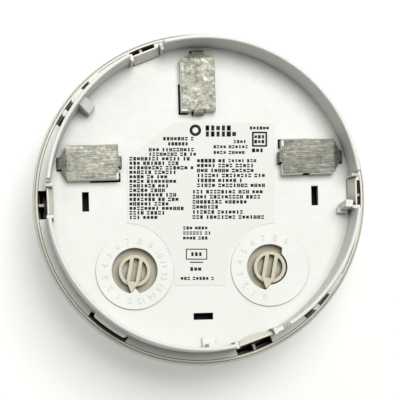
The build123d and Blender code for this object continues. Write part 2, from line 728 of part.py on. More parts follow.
def status_lamp(angle):
    """Small red lamp that shows through the cover, with leads to the board."""
    x, y = on_circle(LAMP_CIRCLE_R, angle)
    lamp = disc(LAMP_R, LAMP_TIP_Z + LAMP_R, LAMP_BASE_Z - 0.2)
    lamp += Pos(0, 0, LAMP_TIP_Z + LAMP_R) * Sphere(LAMP_R)
    lamp += disc(LAMP_RIM_R, LAMP_BASE_Z - 0.8, LAMP_BASE_Z)
    lamp += lamp_leads(LAMP_LEAD_WIDTH, LAMP_BASE_Z - 0.3, BOARD_UNDER)
    return Pos(x, y, 0) * lamp


def led_spacers():
    """Two stand-offs that hold the lamps at the cover's height."""
    spacers = []
    for angle in LAMP_ANGLES:
        x, y = on_circle(LAMP_CIRCLE_R, angle)
        spacer = disc(LAMP_RIM_R, LAMP_BASE_Z, BOARD_UNDER)
        spacer -= lamp_leads(LAMP_LEAD_WIDTH + 0.2, LAMP_BASE_Z - 1, BOARD_UNDER + 1)
        spacers.append(Pos(x, y, 0) * spacer)
    return Compound(spacers)


def reed_switch():
    """Glass reed switch under the board, closed by a test magnet."""
    tube = Rot(90, 0, 0) * Cylinder(REED_TUBE_R, REED_TUBE_LENGTH)
    tube += Rot(90, 0, 0) * Cylinder(REED_LEAD_R, REED_SPAN)
    end = REED_SPAN / 2
    for y in (-end, end - 0.4):
        tube += block(-REED_LEAD_R, REED_LEAD_R, y, y + 0.4, 0, REED_DROP)
    return Rot(0, 0, REED_ANGLE) * Pos(REED_CIRCLE_R, 0, BOARD_UNDER - REED_DROP) * tube


def microcontroller():
    """Surface-mount package on the board's upper side, with pins along two sides."""
    x, y = CHIP_CENTRE
    width, depth, height = CHIP_SIZE
    body = Pos(x, y, BOARD_TOP + CHIP_STANDOFF + height / 2) * Box(width, depth, height)
    for n in range(CHIP_PINS):
        pin_x = x + (n - (CHIP_PINS - 1) / 2) * PIN_PITCH
        for side in (-1, 1):
            inner = y + side * (depth / 2 - 0.3)
            outer = y + side * (depth / 2 + PIN_REACH)
            left = pin_x - PIN_WIDTH / 2
            body += block(left, left + PIN_WIDTH, inner, outer, BOARD_TOP, BOARD_TOP + PIN_HEIGHT)
    return body


def board_grid(size, first, pitch, columns, rows):
    """Rows of equal small boxes standing on the board."""
    boxes = []
    for row in range(rows):
        for column in range(columns):
            place = Pos(first[0] + pitch[0] * column, first[1] - pitch[1] * row, BOARD_TOP + size[2] / 2)
            boxes.append(place * Box(*size))
    return Compound(boxes)


def bridge_diodes():
    """Group of four protection diodes beside the line terminals."""
    return board_grid(DIODE_SIZE, DIODE_FIRST, (DIODE_PITCH, 0), DIODE_COUNT, 1)


def chip_components():
    """Rows of small resistors and capacitors on the upper side of the board."""
    return board_grid(PASSIVE_SIZE, PASSIVE_FIRST, PASSIVE_PITCH, PASSIVE_COLUMNS, PASSIVE_ROWS)


def capacitors():
    """Two upright electrolytic capacitors under the board, outside the sensing chamber."""
    foot = CAPACITOR_FOOT / 2
    crimp_z = BOARD_UNDER - CAPACITOR_FOOT_HEIGHT - 1
    can = disc(CAPACITOR_R, BOARD_UNDER - CAPACITOR_HEIGHT, BOARD_UNDER - CAPACITOR_FOOT_HEIGHT + 0.1)
    can -= ring(CAPACITOR_R + 1, CAPACITOR_CRIMP_R, crimp_z - 0.2, crimp_z + 0.2)
    can += block(-foot, foot, -foot, foot, BOARD_UNDER - CAPACITOR_FOOT_HEIGHT, BOARD_UNDER)
    pair = []
    for angle in CAPACITOR_ANGLES:
        x, y = on_circle(CAPACITOR_CIRCLE_R, angle)
        pair.append(Pos(x, y, 0) * can)
    return Compound(pair)


def crystal():
    """Low metal-cased crystal under the board."""
    low = BOARD_UNDER - CRYSTAL_HEIGHT
    base_width, base_length, base_height = CRYSTAL_BASE
    half = CRYSTAL_STRAIGHT / 2
    high = BOARD_UNDER - base_height + 0.1
    case = block(-CRYSTAL_WIDTH / 2, CRYSTAL_WIDTH / 2, -half, half, low, high)
    for y in (-half, half):
        case += disc(CRYSTAL_WIDTH / 2, low, high, 0, y)
    case += Pos(0, 0, BOARD_UNDER - base_height / 2) * Box(base_width, base_length, base_height)
    return Rot(0, 0, CRYSTAL_ANGLE) * Pos(CRYSTAL_CIRCLE_R, 0, 0) * case


def cover_shell():
    """Solid of revolution of the cover: skirt, sloped front, cage wall and cap."""
    seat_z = FLANGE_UNDER - RUNNING_GAP
    seam_r = FLANGE_R + STATIC_GAP
    lip_r = FLANGE_R + 0.75
    cage_inner_r = CAGE_R - CAGE_WALL
    nose_edge_r = NOSE_R + 0.7
    cone_inner = (CONE_END_R - 0.6, CONE_END_Z + COVER_WALL)
    shoulder_inner = (SHOULDER_R - 0.5, SHOULDER_Z + COVER_WALL)
    cone_end = (CONE_END_R, CONE_END_Z)
    cage_start = (CAGE_R, CAGE_TOP_Z - 1.6)
    cage_end = (CAGE_R, NOSE_Z + 2.8)
    return turned_profile(
        Line((COVER_LEDGE_R, seat_z), (seam_r, seat_z)),
        Line((seam_r, seat_z), (seam_r, COVER_TOP)),
        Line((seam_r, COVER_TOP), (lip_r, COVER_TOP)),
        ThreePointArc((lip_r, COVER_TOP), (COVER_R - 0.35, COVER_TOP - 0.9), (COVER_R, COVER_WIDEST_Z)),
        Line((COVER_R, COVER_WIDEST_Z), (SKIRT_LOW_R, SKIRT_LOW_Z)),
        ThreePointArc((SKIRT_LOW_R, SKIRT_LOW_Z), (50.0, -21.6), (SHOULDER_R, SHOULDER_Z)),
        Line((SHOULDER_R, SHOULDER_Z), cone_end),
        ThreePointArc(cone_end, (34.4, -26.9), cage_start),
        Line(cage_start, cage_end),
        ThreePointArc(cage_end, (CAGE_R - 0.9, NOSE_Z + 0.75), (nose_edge_r, NOSE_Z)),
        Line((nose_edge_r, NOSE_Z), (0, NOSE_Z)),
        Line((0, NOSE_Z), (0, NOSE_Z + CAP_WALL)),
        Line((0, NOSE_Z + CAP_WALL), (cage_inner_r, NOSE_Z + CAP_WALL)),
        Line((cage_inner_r, NOSE_Z + CAP_WALL), (cage_inner_r, CONE_END_Z + 0.2)),
        Line((cage_inner_r, CONE_END_Z + 0.2), cone_inner),
        Line(cone_inner, shoulder_inner),
        ThreePointArc(shoulder_inner, (48.9, -20.3), (COVER_LEDGE_R, SKIRT_LOW_Z)),
        Line((COVER_LEDGE_R, SKIRT_LOW_Z), (COVER_LEDGE_R, seat_z)),
    )


def cage_slots():
    """Smoke inlets round the cage, as one ring cut by the ribs between them."""
    band = ring(CAGE_R + 4, CAGE_R - CAGE_WALL - 0.1, SLOT_LOW_Z, CAGE_TOP_Z)
    half = CAGE_RIB_WIDTH / 2
    for n in range(CAGE_RIBS):
        rib = block(CAGE_R - 4, CAGE_R + 5, -half, half, SLOT_LOW_Z - 1, CAGE_TOP_Z + 1)
        band -= Rot(0, 0, 360 / CAGE_RIBS * n) * rib
    return band


def detector_cover():
    """Ivory front cover: skirt, vent cage, lamp holes, and a socket and stop rib behind each release tab."""
    cover = cover_shell() - cage_slots()
    for angle in LAMP_ANGLES:
        x, y = on_circle(LAMP_CIRCLE_R, angle)
        cover += disc(LAMP_BOSS_R, CONE_END_Z + 0.2, -22.6, x, y)
        cover -= disc(LAMP_HOLE_R, NOSE_Z, -20, x, y)
        cover -= disc(LAMP_RIM_R + 0.2, -23.4, -20, x, y)
    cover -= turned([
        (RING_GROOVE_R - RING_GROOVE_WIDTH, COVER_TOP + 1),
        (RING_GROOVE_R + RING_GROOVE_WIDTH, COVER_TOP + 1),
        (RING_GROOVE_R, COVER_TOP - RING_GROOVE_DEPTH),
    ])
    for _, angle, width, _ in RELEASE_TABS:
        half = width / 2 + TAB_SIDE_GAP
        recess = block(TAB_INNER_R, FLANGE_R, -half, half, SKIRT_LOW_Z, FLANGE_UNDER + 1)
        cover -= Rot(0, 0, angle) * recess & disc(FLANGE_R - 0.1, SKIRT_LOW_Z, 0)
        cover += tab_socket(angle, width)
        cover -= Rot(0, 0, angle) * tab_root(width + 2 * TAB_SIDE_GAP, TAB_PIVOT_R + RUNNING_GAP)
    return cover


def tab_socket(angle, width):
    """Saddle under a release tab's root, with one rib behind the tab."""
    rib_start = TAB_OUTER_R + TAB_SWING
    inner_r = TAB_PIVOT_CENTRE_R - SADDLE_REACH
    saddle = block(inner_r, SADDLE_OUTER_R, -width / 2, width / 2, SADDLE_UNDER, TAB_PIVOT_Z)
    half = TAB_RIB_WIDTH / 2
    rib = block(rib_start, FLANGE_R + 0.3, -half, half, TAB_PIVOT_Z, FLANGE_TOP - 0.7)
    return Rot(0, 0, angle) * (saddle + rib)


def tab_root(width, radius):
    """Round root of a release tab, along Y."""
    return Pos(TAB_PIVOT_CENTRE_R, 0, TAB_PIVOT_Z) * Rot(90, 0, 0) * Cylinder(radius, width)


def release_tab(angle, width, arch_r):
    """Snap tab of the cover, hooked over the floor's edge, with a round root to flex about."""
    points = [
        (TAB_INNER_R, TAB_PIVOT_Z),
        (TAB_OUTER_R, TAB_PIVOT_Z),
        (TAB_OUTER_R, TAB_TOP - 0.3),
        (TAB_OUTER_R - 0.2, TAB_TOP),
        (TAB_INNER_R + 0.8, TAB_TOP),
        (TAB_HOOK_R, TAB_HOOK_UNDER + TAB_HOOK_FACE),
        (TAB_HOOK_R, TAB_HOOK_UNDER),
        (TAB_INNER_R, TAB_HOOK_UNDER),
    ]
    tab = radial_plate(points, width, 0)
    if arch_r:
        trim = block(TAB_HOOK_R - 1, TAB_OUTER_R - 0.4, -width, width, TAB_HOOK_UNDER, 0)
        tab -= trim - disc(arch_r, TAB_HOOK_UNDER - 1, 1, TAB_HOOK_R + arch_r, 0)
    return Rot(0, 0, angle) * (tab + tab_root(width, TAB_PIVOT_R))


def build():
    """Every node by name."""
    nodes = {
        "rear_housing": rear_housing(),
        "product_label": product_label(),
        "circuit_board": circuit_board(),
        "board_screws": board_screws(),
        "chamber_base": chamber_base(),
        "infrared_emitter": infrared_emitter(),
        "photodiode": photodiode(),
        "photodiode_shield": photodiode_shield(),
        "chamber_cover": chamber_cover(),
        "insect_screen": insect_screen(),
        "led_spacers": led_spacers(),
        "reed_switch": reed_switch(),
        "microcontroller": microcontroller(),
        "bridge_diodes": bridge_diodes(),
        "chip_components": chip_components(),
        "capacitors": capacitors(),
        "crystal": crystal(),
        "detector_cover": detector_cover(),
    }
    for contact in CONTACTS:
        nodes["contact_" + contact[0]] = contact_shoe(contact)
    for name, x, _ in DIALS:
        nodes["address_dial_" + name] = address_dial(x)
        nodes["wiper_" + name] = wiper(x)
        nodes["switch_body_" + name] = switch_body(x)
    for name, angle in zip("ab", LAMP_ANGLES):
        nodes["status_led_" + name] = status_lamp(angle)
    for name, angle, width, arch_r in RELEASE_TABS:
        nodes["release_tab_" + name] = release_tab(angle, width, arch_r)
    return nodes


os.makedirs("parts", exist_ok=True)
for node, shape in build().items():
    export_step(shape, f"parts/{node}.step")
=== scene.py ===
import math
import random

import bmesh
import bpy
from mathutils import Matrix, Vector


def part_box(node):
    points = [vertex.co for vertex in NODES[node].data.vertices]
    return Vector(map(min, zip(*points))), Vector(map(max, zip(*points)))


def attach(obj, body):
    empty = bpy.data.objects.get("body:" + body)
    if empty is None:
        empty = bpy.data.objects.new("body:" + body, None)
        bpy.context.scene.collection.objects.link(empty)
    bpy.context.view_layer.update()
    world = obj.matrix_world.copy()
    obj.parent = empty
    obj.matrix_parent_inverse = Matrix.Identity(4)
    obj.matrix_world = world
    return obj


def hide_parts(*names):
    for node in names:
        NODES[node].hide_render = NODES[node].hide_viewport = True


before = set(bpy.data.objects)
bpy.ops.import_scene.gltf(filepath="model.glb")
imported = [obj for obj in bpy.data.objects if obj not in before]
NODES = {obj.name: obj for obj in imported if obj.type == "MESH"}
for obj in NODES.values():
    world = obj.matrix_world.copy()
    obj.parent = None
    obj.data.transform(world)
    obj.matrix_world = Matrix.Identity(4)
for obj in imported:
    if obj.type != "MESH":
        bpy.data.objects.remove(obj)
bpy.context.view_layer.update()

# Everything is in metres in the row frame: +Z points out of the detector's back, which faces the camera.
MM = 0.001

LABEL_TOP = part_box("product_label")[1].z
COVER_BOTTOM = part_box("detector_cover")[0].z

# The second colour of each pair serves both specks of dirt and the darkening in corners, which is partly dust
# and partly painted shade.
WHITE = (0.60, 0.615, 0.585)
WHITE_DIRT_AND_SHADE = (0.30, 0.285, 0.24)
IVORY = (0.60, 0.588, 0.515)
IVORY_DIRT_AND_SHADE = (0.26, 0.23, 0.17)
DIAL_IVORY = (0.46, 0.43, 0.33)
DIAL_DIRT_AND_SHADE = (0.16, 0.145, 0.11)
SWITCH_BEIGE = (0.34, 0.315, 0.235)
SWITCH_DIRT_AND_SHADE = (0.17, 0.155, 0.115)
CHAMBER_BLACK = (0.018, 0.018, 0.02)
CHIP_BLACK = (0.022, 0.022, 0.024)
LAMP_RED = (0.62, 0.015, 0.01)
BRASS = (0.75, 0.56, 0.28)

# Painted shade: deep hollows take this near-black colour in place of the shade that falls in them. It fades
# in upwards over these heights, in millimetres, so that the nose's face stays pale. The two radii, in
# millimetres, reach past the whole object and past the cover's windows.
PAINTED_HOLLOW_SHADE = (0.014, 0.010, 0.008)
HOLLOW_SHADE_FADE = (-25.0, -21.0)
EVERYWHERE = 90.0
WINDOWS_R = 50.3


# ---------------------------------------------------------------- shader helpers

def darker(colour, share):
    return [channel * share for channel in colour]


class Shader:
    """A material's node graph, with short calls for what every material here needs."""

    def __init__(self, name):
        self.material = bpy.data.materials.new(name)
        self.material.use_nodes = True
        self.tree = self.material.node_tree
        self.tree.nodes.clear()
        self.out = self.tree.nodes.new("ShaderNodeOutputMaterial")
        self.bsdf = self.tree.nodes.new("ShaderNodeBsdfPrincipled")
        self.tree.links.new(self.bsdf.outputs[0], self.out.inputs["Surface"])
        coordinates = self.tree.nodes.new("ShaderNodeTexCoord")
        self.place = coordinates.outputs["Object"]
        self.mm = self.mapped((1000.0, 1000.0, 1000.0))

    def add(self, kind, settings=None, **inputs):
        node = self.tree.nodes.new(kind)
        for key, value in (settings or {}).items():
            setattr(node, key, value)
        for key, value in inputs.items():
            self.put(node, key.replace("_", " "), value)
        return node

    def put(self, node, key, value):
        """Sets an input to a number or colour, or links another node's output to it."""
        socket = node.inputs[key]
        if isinstance(value, bpy.types.NodeSocket):
            self.tree.links.new(value, socket)
        else:
            socket.default_value = value

    def mapped(self, scale, turn=(0.0, 0.0, 0.0)):
        node = self.tree.nodes.new("ShaderNodeMapping")
        self.put(node, "Vector", self.place)
        self.put(node, "Scale", scale)
        self.put(node, "Rotation", turn)
        return node.outputs[0]

    def noise(self, per_mm, detail=3.0, rough=0.5, where=None, distortion=0.0):
        """Noise with a feature size given per millimetre, as a value from 0 to 1."""
        node = self.add("ShaderNodeTexNoise", Vector=where or self.mm, Scale=per_mm, Detail=detail,
                        Roughness=rough, Distortion=distortion)
        return node.outputs["Fac"]

    def ramp(self, value, *stops):
        """Colour ramp from (position, colour) pairs."""
        node = self.add("ShaderNodeValToRGB", Fac=value)
        elements = node.color_ramp.elements
        while len(elements) < len(stops):
            elements.new(0.5)
        for element, (position, colour) in zip(elements, stops):
            element.position = position
            element.color = (*colour, 1.0)
        return node.outputs["Color"]

    def span(self, value, low, high, from_low=0.0, from_high=1.0):
        """Maps from_low..from_high onto low..high, clamped at both ends."""
        node = self.add("ShaderNodeMapRange", Value=value, From_Min=from_low, From_Max=from_high, To_Min=low,
                        To_Max=high)
        return node.outputs["Result"]

    def mix(self, factor, a, b, blend="MIX"):
        """Blends two colours. The names of the node's colour sockets repeat, so they go by number."""
        node = self.add("ShaderNodeMix", {"data_type": "RGBA", "blend_type": blend})
        self.put(node, 0, factor)
        for key, value in ((6, a), (7, b)):
            self.put(node, key, value if isinstance(value, bpy.types.NodeSocket) else (*value, 1.0))
        return node.outputs[2]

    def math(self, operation, a, b):
        node = self.add("ShaderNodeMath", {"operation": operation})
        self.put(node, 0, a)
        self.put(node, 1, b)
        return node.outputs[0]

    def relief(self, *layers, edge):
        """Bump from (height, strength, depth in mm) layers over softly rounded edges."""
        normal = self.add("ShaderNodeBevel", {"samples": 4}, Radius=edge * MM).outputs[0]
        for height, strength, depth in layers:
            normal = self.add("ShaderNodeBump", Height=height, Strength=strength, Distance=depth * MM,
                              Normal=normal).outputs[0]
        self.put(self.bsdf, "Normal", normal)

    def crevice(self, reach, own_shape=True):
        """Openness: 1 in the open, towards 0 where walls stand within reach millimetres.

        The walls are those of the piece itself, or of every piece if own_shape is false.
        """
        settings = {"samples": 6, "only_local": own_shape}
        return self.add("ShaderNodeAmbientOcclusion", settings, Distance=reach * MM).outputs["AO"]

    def depth_and_radius(self):
        """Height in the row frame and distance from the detector's axis, both in millimetres."""
        parts = self.add("ShaderNodeSeparateXYZ", Vector=self.mm).outputs
        flat = self.add("ShaderNodeCombineXYZ", X=parts["X"], Y=parts["Y"]).outputs[0]
        node = self.add("ShaderNodeVectorMath", {"operation": "LENGTH"})
        self.put(node, 0, flat)
        return parts["Z"], node.outputs["Value"]

    def finish(self, colour, roughness, metallic=0.0, **more):
        self.put(self.bsdf, "Base Color", colour)
        self.put(self.bsdf, "Roughness", roughness)
        self.put(self.bsdf, "Metallic", metallic)
        for key, value in more.items():
            self.put(self.bsdf, key.replace("_", " "), value)
        return self.material


def moulded_plastic(name, colour, dirt_and_shade, roughness, dust_and_shade_strength, grain=0.5, hollow_shade_span=(0.05, 0.26),
                    hollow_shade_r=EVERYWHERE):
    """Injection-moulded plastic: slight cloudiness, dust and painted shade in the corners, fine orange-peel
    and rubbed spots.

    Deep hollows nearer the axis than the given radius, in millimetres, go near-black as painted shade, over
    the given span of openness.
    """
    s = Shader(name)
    cloud = s.noise(0.07, 4.0, 0.55)
    faint = s.mix(s.span(cloud, 0.0, 0.55, 0.35, 0.7), colour, darker(colour, 0.955))
    specks = s.ramp(s.noise(1.9, 2.0, 0.7), (0.0, (0, 0, 0)), (0.66, (0, 0, 0)), (0.76, (1, 1, 1)))
    faint = s.mix(s.math("MULTIPLY", specks, 0.10), faint, dirt_and_shade)
    # Dust and painted shade: corners darken towards the dirt colour by how closed in they are.
    corner_dust_and_shade = s.span(s.crevice(2.2), dust_and_shade_strength, 0.0, 0.25, 0.95)
    patchy = s.span(s.noise(0.35, 5.0, 0.6), 0.35, 1.0, 0.35, 0.65)
    final = s.mix(s.math("MULTIPLY", corner_dust_and_shade, patchy), faint, dirt_and_shade)
    # Painted shade: deep hollows among all pieces go near-black, where shade falls.
    hollow_shade = s.span(s.crevice(16.0, own_shape=False), 1.0, 0.0, *hollow_shade_span)
    height, radius = s.depth_and_radius()
    inside = s.span(radius, 1.0, 0.0, hollow_shade_r, hollow_shade_r + 0.4)
    above = s.span(height, 0.0, 1.0, *HOLLOW_SHADE_FADE)
    final = s.mix(s.math("MULTIPLY", s.math("MULTIPLY", hollow_shade, inside), above), final, PAINTED_HOLLOW_SHADE)
    rub = s.span(s.noise(0.5, 4.0, 0.6, distortion=0.6), roughness - 0.02, roughness + 0.10, 0.3, 0.7)
    peel = (s.noise(2.6, 3.0, 0.6), 0.10 * grain, 0.05)
    fine = (s.noise(11.0, 2.0, 0.5), 0.16 * grain, 0.02)
    s.relief(peel, fine, edge=0.15)
    return s.finish(final, rub)


def black_plastic(name, colour, roughness):
    """Matt black plastic under a thin film of dust."""
    s = Shader(name)
    dust = s.span(s.noise(0.8, 6.0, 0.65), 0.0, 0.35, 0.45, 0.8)
    final = s.mix(dust, colour, (0.07, 0.068, 0.062))
    s.relief((s.noise(6.0, 3.0, 0.6), 0.25, 0.03), edge=0.12)
    return s.finish(final, s.span(s.noise(1.2), roughness - 0.1, roughness + 0.15))


def tinned_metal(name, turn, shade, brushed):
    """Dull tin plate: cloudy spangle, yellow and grey stains, and scratches along the shoe.

    Shade darkens the whole plate as painted shade, and brushed moves it from blotches towards fine scratches.
    """
    s = Shader(name)
    stretched = s.mapped((180.0, 3000.0, 1000.0), (0.0, 0.0, turn))
    mottle = s.noise(0.8, 7.0, 0.74, distortion=0.35)
    blotch = s.noise(0.15, 3.0, 0.5, distortion=0.4)
    grain = s.noise(1.1, 5.0, 0.7, where=stretched)
    drift = s.math("ADD", s.math("MULTIPLY", mottle, 1.0 - brushed), s.math("MULTIPLY", grain, brushed))
    tone = s.ramp(drift, (0.32, (0.11, 0.11, 0.098)), (0.44, (0.24, 0.24, 0.215)),
                  (0.56, (0.42, 0.42, 0.375)), (0.68, (0.82, 0.82, 0.75)))
    stain = s.ramp(blotch, (0.36, (0.62, 0.62, 0.60)), (0.50, (0.86, 0.86, 0.79)), (0.64, (1.0, 0.975, 0.85)))
    colour = s.mix(0.85, tone, stain, "MULTIPLY")
    colour = s.mix(1.0, colour, (shade, shade, shade), "MULTIPLY")
    scratches = s.ramp(grain, (0.0, (0, 0, 0)), (0.62, (0, 0, 0)), (0.68, (1, 1, 1)))
    colour = s.mix(s.math("MULTIPLY", scratches, 0.5 * brushed), colour, (0.80, 0.79, 0.74))
    pits = s.ramp(s.noise(1.6, 2.0, 0.8), (0.0, (1, 1, 1)), (0.30, (1, 1, 1)), (0.36, (0, 0, 0)))
    colour = s.mix(s.math("MULTIPLY", pits, 0.45), colour, (0.12, 0.105, 0.09))
    rough = s.math("ADD", s.span(mottle, 0.62, 0.48, 0.3, 0.7), s.span(grain, -0.05, 0.09))
    s.relief((mottle, 0.14, 0.10), (grain, 0.16, 0.03), edge=0.14)
    return s.finish(colour, rough, 0.60)


def bright_metal(name, colour, roughness):
    """Clean metal with faintly worn patches."""
    s = Shader(name)
    worn = s.noise(0.9, 5.0, 0.6)
    final = s.mix(s.span(worn, 0.0, 0.5, 0.35, 0.75), colour, darker(colour, 0.7))
    s.relief((s.noise(5.0, 3.0, 0.6), 0.12, 0.02), edge=0.08)
    return s.finish(final, s.span(worn, roughness - 0.08, roughness + 0.15), 0.95)


def sticker_sheet(name):
    """Matt paper-film sticker with a faint fibre, slightly yellowed in patches."""
    s = Shader(name)
    fibre = s.noise(3.2, 4.0, 0.7)
    yellow = s.noise(0.09, 3.0, 0.5)
    colour = s.mix(s.span(yellow, 0.0, 0.5, 0.4, 0.7), (0.590, 0.605, 0.575), (0.585, 0.590, 0.550))
    s.relief((fibre, 0.10, 0.02), edge=0.04)
    return s.finish(colour, s.span(fibre, 0.5, 0.65))


def printed_ink(name):
    """Matt black ink, worn thin in spots."""
    s = Shader(name)
    wear = s.noise(2.4, 4.0, 0.7)
    final = s.mix(s.span(wear, 0.0, 0.25, 0.55, 0.85), (0.010, 0.010, 0.012), (0.12, 0.12, 0.115))
    s.relief((wear, 0.1, 0.01), edge=0.02)
    return s.finish(final, 0.75, Specular_IOR_Level=0.2)


def solder_mask(name):
    """Dark board lacquer with faint tracks below it, darkened towards black as painted shade."""
    s = Shader(name)
    tracks = s.add("ShaderNodeTexBrick", {"offset": 0.37}, Vector=s.mm, Scale=0.22, Mortar_Size=0.05,
                   Brick_Width=0.9, Row_Height=0.33)
    lines = tracks.outputs["Fac"]
    # Painted shade: the lacquer is nearly black, darker than its own green, so that the slots over it look
    # shaded.
    colour = s.mix(lines, (0.003, 0.007, 0.005), (0.006, 0.015, 0.009))
    s.relief((lines, 0.25, 0.03), (s.noise(4.0), 0.06, 0.02), edge=0.05)
    return s.finish(colour, s.span(s.noise(1.0), 0.55, 0.7), Specular_IOR_Level=0.15)


def clear_resin(name, colour, roughness=0.12, transmission=0.55):
    """Tinted cast resin or glass with a slight swirl."""
    s = Shader(name)
    swirl = s.noise(0.6, 2.0, 0.5)
    final = s.mix(s.span(swirl, 0.0, 0.4), colour, darker(colour, 0.6))
    s.relief((s.noise(1.5, 2.0), 0.04, 0.05), edge=0.06)
    return s.finish(final, s.span(swirl, roughness, roughness + 0.08), Transmission_Weight=transmission)


def ceramic_chip(name):
    """Small ceramic bodies whose tone differs from one to the next."""
    s = Shader(name)
    tints = s.add("ShaderNodeTexVoronoi", Vector=s.mm, Scale=0.45).outputs["Color"]
    tone = s.mix(0.35, (0.36, 0.28, 0.20), tints, "OVERLAY")
    s.relief((s.noise(8.0, 2.0), 0.2, 0.02), edge=0.08)
    return s.finish(tone, s.span(s.noise(3.0), 0.35, 0.6))


def dress_cad_nodes():
    """Gives every carried-over CAD node its procedural material."""
    housing = moulded_plastic("housing_white", WHITE, WHITE_DIRT_AND_SHADE, 0.44, 0.22, grain=0.35)
    # Painted shade: the cover's inside, seen through its windows, goes near-black.
    cover = moulded_plastic("cover_ivory", IVORY, IVORY_DIRT_AND_SHADE, 0.40, 0.4, hollow_shade_span=(0.34, 0.66),
                            hollow_shade_r=WINDOWS_R)
    dial = moulded_plastic("dial_ivory", DIAL_IVORY, DIAL_DIRT_AND_SHADE, 0.5, 0.6)
    switch = moulded_plastic("switch_beige", SWITCH_BEIGE, SWITCH_DIRT_AND_SHADE, 0.55, 0.5, hollow_shade_span=(0.0, 0.06))
    black = black_plastic("chamber_black", CHAMBER_BLACK, 0.5)
    epoxy = black_plastic("chip_epoxy", CHIP_BLACK, 0.42)
    tin = bright_metal("bright_tin", (0.72, 0.72, 0.70), 0.28)
    looks = {
        "rear_housing": housing,
        "detector_cover": cover,
        "address_dial_tens": dial,
        "address_dial_ones": dial,
        "switch_body_tens": switch,
        "switch_body_ones": switch,
        "product_label": sticker_sheet("sticker_sheet"),
        "circuit_board": solder_mask("board_lacquer"),
        "chamber_base": black,
        "chamber_cover": black,
        "led_spacers": black,
        "insect_screen": bright_metal("screen_wire", (0.10, 0.10, 0.10), 0.4),
        "status_led_a": clear_resin("red_resin", LAMP_RED),
        "status_led_b": clear_resin("red_resin_b", LAMP_RED),
        "infrared_emitter": clear_resin("smoky_resin", (0.10, 0.10, 0.16)),
        "photodiode": clear_resin("dark_resin", (0.03, 0.03, 0.04), 0.1, 0.2),
        "photodiode_shield": tin,
        "crystal": tin,
        "wiper_tens": bright_metal("spring_brass", BRASS, 0.3),
        "wiper_ones": bright_metal("spring_brass_b", BRASS, 0.3),
        "reed_switch": clear_resin("reed_glass", (0.62, 0.72, 0.66), 0.05, 0.8),
        "microcontroller": epoxy,
        "bridge_diodes": epoxy,
        "chip_components": ceramic_chip("chip_ceramic"),
        "capacitors": bright_metal("capacitor_can", (0.78, 0.78, 0.80), 0.25),
        "board_screws": bright_metal("zinc_screw", (0.66, 0.66, 0.68), 0.32),
    }
    # Painted shade: the three contacts are lit and shaded copies of one tinned metal, each darkened by its
    # own share, the right one most.
    for side, turn, shade, brushed in (
        ("top", math.pi / 2, 0.90, 0.20),
        ("left", 0.0, 0.80, 0.6),
        ("right", 0.0, 0.52, 0.65),
    ):
        looks["contact_" + side] = tinned_metal("tinned_" + side, turn, shade, brushed)
    for side in ("right", "top", "left", "bottom"):
        looks["release_tab_" + side] = cover
    for name, material in looks.items():
        slots = NODES[name].data.materials
        slots.clear()
        slots.append(material)


# ---------------------------------------------------------------- object and mesh helpers

def add_object(name, data):
    thing = bpy.data.objects.new(name, data)
    bpy.context.scene.collection.objects.link(thing)
    return thing


def drive(owner, path, expression, name, kind, *targets, index=-1):
    """Driver on a property, from an expression of one named variable. Gives the variable's targets."""
    driver = owner.driver_add(path, index).driver
    driver.type = "SCRIPTED"
    variable = driver.variables.new()
    variable.name = name
    variable.type = kind
    for slot, target in zip(variable.targets, targets):
        slot.id = target
    driver.expression = expression
    return variable.targets


def mesh_piece(name, build, material, body):
    """New piece from a function that fills a bmesh, riding on a body."""
    mesh = bpy.data.meshes.new(name)
    bm = bmesh.new()
    build(bm)
    bm.to_mesh(mesh)
    bm.free()
    mesh.materials.append(material)
    piece = add_object(name, mesh)
    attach(piece, body)
    return piece


def add_prism(bm, points, low, high):
    """Closed upright prism over an outline given counter-clockwise."""
    bottom = [bm.verts.new((x, y, low)) for x, y in points]
    top = [bm.verts.new((x, y, high)) for x, y in points]
    bm.faces.new(list(reversed(bottom)))
    bm.faces.new(top)
    for n in range(len(points)):
        m = (n + 1) % len(points)
        bm.faces.new((bottom[n], bottom[m], top[m], top[n]))


def rounded_box_outline(x, y, width, height, radius, steps=2):
    """Counter-clockwise outline of a rounded rectangle about a centre."""
    radius = min(radius, width / 2 * 0.98, height / 2 * 0.98)
    points = []
    for corner_dust_and_shade, (sx, sy) in enumerate(((1, 1), (-1, 1), (-1, -1), (1, -1))):
        cx = x + sx * (width / 2 - radius)
        cy = y + sy * (height / 2 - radius)
        for n in range(steps + 1):
            a = math.radians(90 * corner_dust_and_shade + 90 * n / steps)
            points.append((cx + radius * math.cos(a), cy + radius * math.sin(a)))
    return points


def add_ring(bm, x, y, outer, inner, low, high, steps=40):
    """Flat closed ring."""
    rows = []
    for radius, z in ((outer, low), (outer, high), (inner, high), (inner, low)):
        row = []
        for n in range(steps):
            a = 2 * math.pi * n / steps
            row.append(bm.verts.new((x + radius * math.cos(a), y + radius * math.sin(a), z)))
        rows.append(row)
    for k in range(4):
        a_row, b_row = rows[k], rows[(k + 1) % 4]
        for n in range(steps):
            m = (n + 1) % steps
            bm.faces.new((a_row[n], a_row[m], b_row[m], b_row[n]))


# ---------------------------------------------------------------- label print

# The ink is sunk a little into the sheet, so that no gap shows below it. The print is turned with the sheet.
PRINT_LOW = LABEL_TOP - 0.005 * MM
PRINT_HIGH = LABEL_TOP + 0.012 * MM
STROKE_CORNER = 0.08 * MM
LABEL_TURN = math.radians(-1.6)

# Stroke width as a share of a mark's height.
PLAIN = 0.38
BOLD = 0.50

